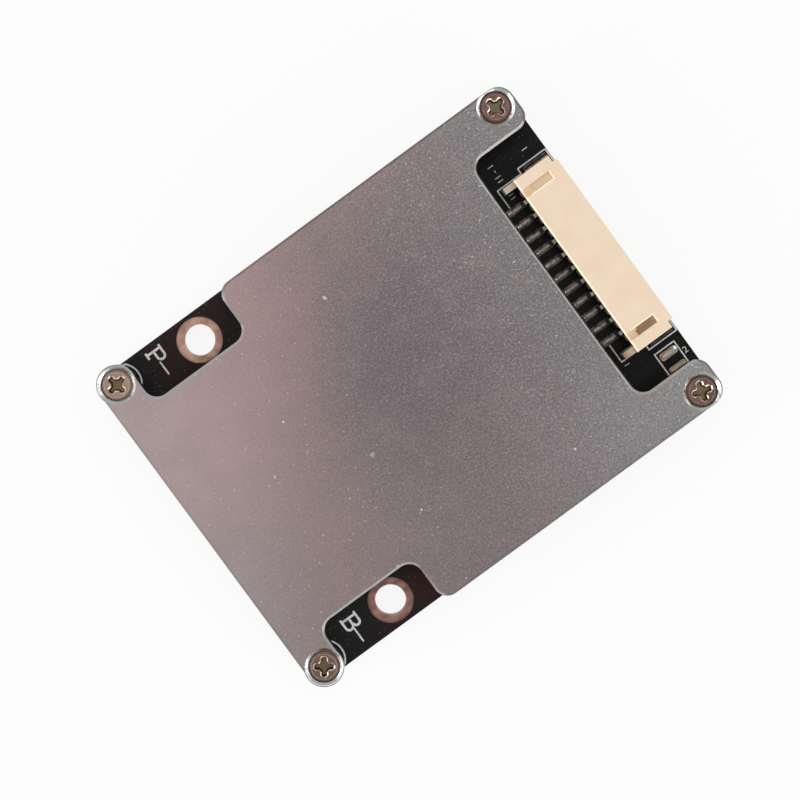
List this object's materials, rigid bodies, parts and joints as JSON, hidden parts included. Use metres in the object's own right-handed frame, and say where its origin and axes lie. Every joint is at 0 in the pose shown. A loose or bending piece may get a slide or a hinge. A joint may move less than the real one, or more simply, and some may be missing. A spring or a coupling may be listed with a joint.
{
  "type": "battery management board",
  "caption": "Flat battery management board: black circuit board under a notched aluminium heatsink plate, with copper ring terminals and a side-entry cell connector.",
  "frame": {"origin": "centre of the outline, on the underside of the circuit board", "axes": "+X along the board towards the cell connector, +Y towards the P- terminal, +Z out of the heatsink plate"},
  "size_m": [0.0628, 0.048, 0.0074],
  "materials": {
    "solder_mask": "black solder mask",
    "blasted_aluminium": "bead-blasted",
    "screw_nickel": "nickel plated",
    "spacer_nickel": "nickel plated",
    "copper": "bare copper",
    "beige_nylon": "satin",
    "tinned_contact": "tinned",
    "tinned_sheet": "tinned",
    "solder": "solder",
    "thermal_pad": "soft matt",
    "chip_moulding": "moulded",
    "shunt_alloy": "rolled",
    "ceramic_tan": "ceramic",
    "resistor_black": "glazed"
  },
  "bodies": {
    "root": {"balance_resistors": "resistor_black", "balance_transistors": "chip_moulding", "circuit_board": "solder_mask", "connector_contact_01": "tinned_contact", "connector_contact_02": "tinned_contact", "connector_contact_03": "tinned_contact", "connector_contact_04": "tinned_contact", "connector_contact_05": "tinned_contact", "connector_contact_06": "tinned_contact", "connector_contact_07": "tinned_contact", "connector_contact_08": "tinned_contact", "connector_contact_09": "tinned_contact", "connector_contact_10": "tinned_contact", "connector_contact_11": "tinned_contact", "connector_housing": "beige_nylon", "connector_solder_pads": "solder", "connector_solder_tab_b": "tinned_sheet", "connector_solder_tab_p": "tinned_sheet", "control_chip_case": "chip_moulding", "control_chip_leads": "tinned_sheet", "current_shunt_1": "shunt_alloy", "current_shunt_2": "shunt_alloy", "current_shunt_3": "shunt_alloy", "filter_capacitors": "ceramic_tan", "heatsink_plate": "blasted_aluminium", "heatsink_screws": "screw_nickel", "power_transistor_1_case": "chip_moulding", "power_transistor_1_leadframe": "tinned_sheet", "power_transistor_2_case": "chip_moulding", "power_transistor_2_leadframe": "tinned_sheet", "power_transistor_3_case": "chip_moulding", "power_transistor_3_leadframe": "tinned_sheet", "power_transistor_4_case": "chip_moulding", "power_transistor_4_leadframe": "tinned_sheet", "power_transistor_5_case": "chip_moulding", "power_transistor_5_leadframe": "tinned_sheet", "power_transistor_6_case": "chip_moulding", "power_transistor_6_leadframe": "tinned_sheet", "power_transistor_7_case": "chip_moulding", "power_transistor_7_leadframe": "tinned_sheet", "power_transistor_8_case": "chip_moulding", "power_transistor_8_leadframe": "tinned_sheet", "sensor_solder_pads": "solder", "terminal_ring_b": "copper", "terminal_ring_p": "copper", "thermal_pad": "thermal_pad", "threaded_spacers": "spacer_nickel"}
  },
  "joints": []
}
